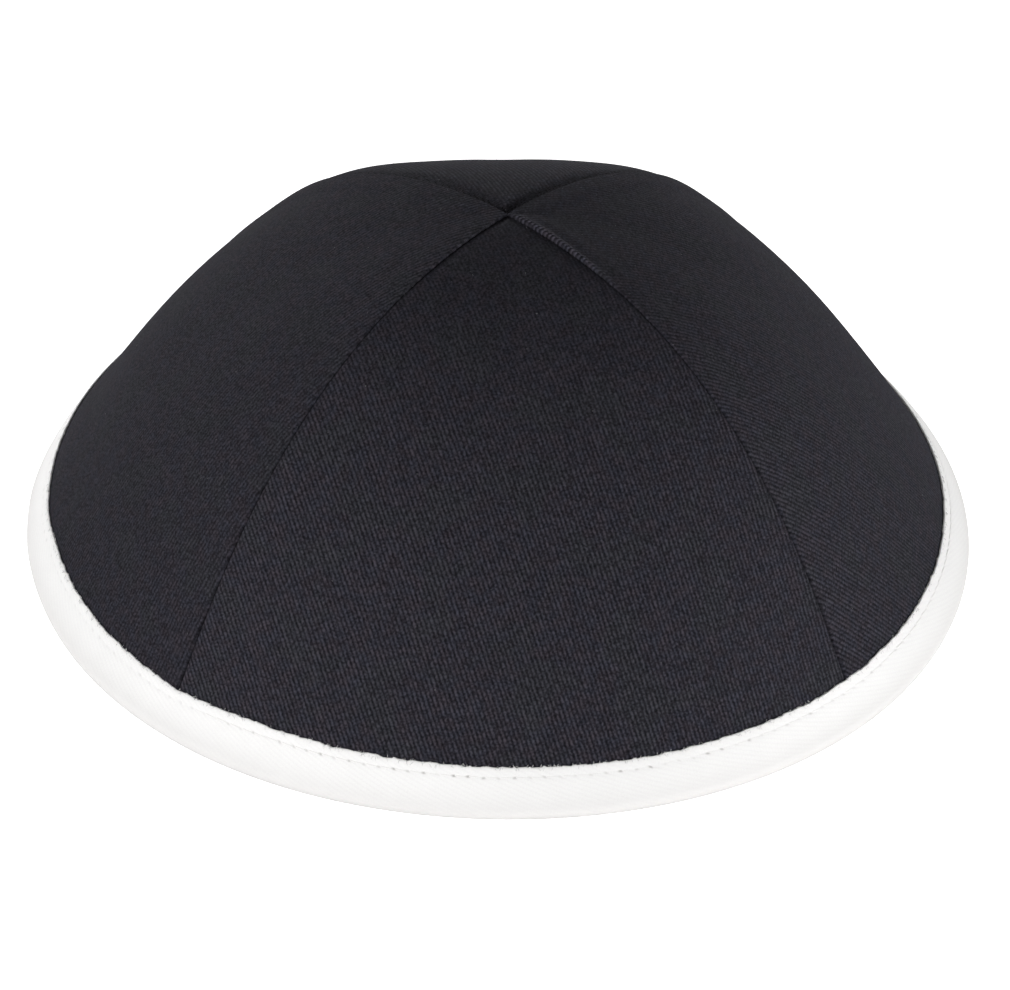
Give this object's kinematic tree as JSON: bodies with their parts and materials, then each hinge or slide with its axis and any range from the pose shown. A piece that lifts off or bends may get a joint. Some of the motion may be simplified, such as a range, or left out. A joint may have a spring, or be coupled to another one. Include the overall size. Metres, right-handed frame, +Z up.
{
  "type": "kippah skullcap",
  "caption": "Round dome skullcap of black twill gores meeting at the apex, its rim bound with a folded white tape, hollow and open below.",
  "frame": {"origin": "middle of the rim's bounding box, on the surface that the cap rests on", "axes": "+Z up through the crown, -Y towards the front panel, +X towards the right panel"},
  "size_m": [0.1802, 0.1782, 0.0689],
  "materials": {
    "black_twill": "matt black cotton gabardine with a steep, fine twill line",
    "white_tape": "matt white cotton twill tape"
  },
  "bodies": {
    "root": {"panel_front": "black_twill", "panel_right": "black_twill", "panel_back": "black_twill", "panel_left": "black_twill", "rim_binding": "white_tape"}
  },
  "joints": []
}
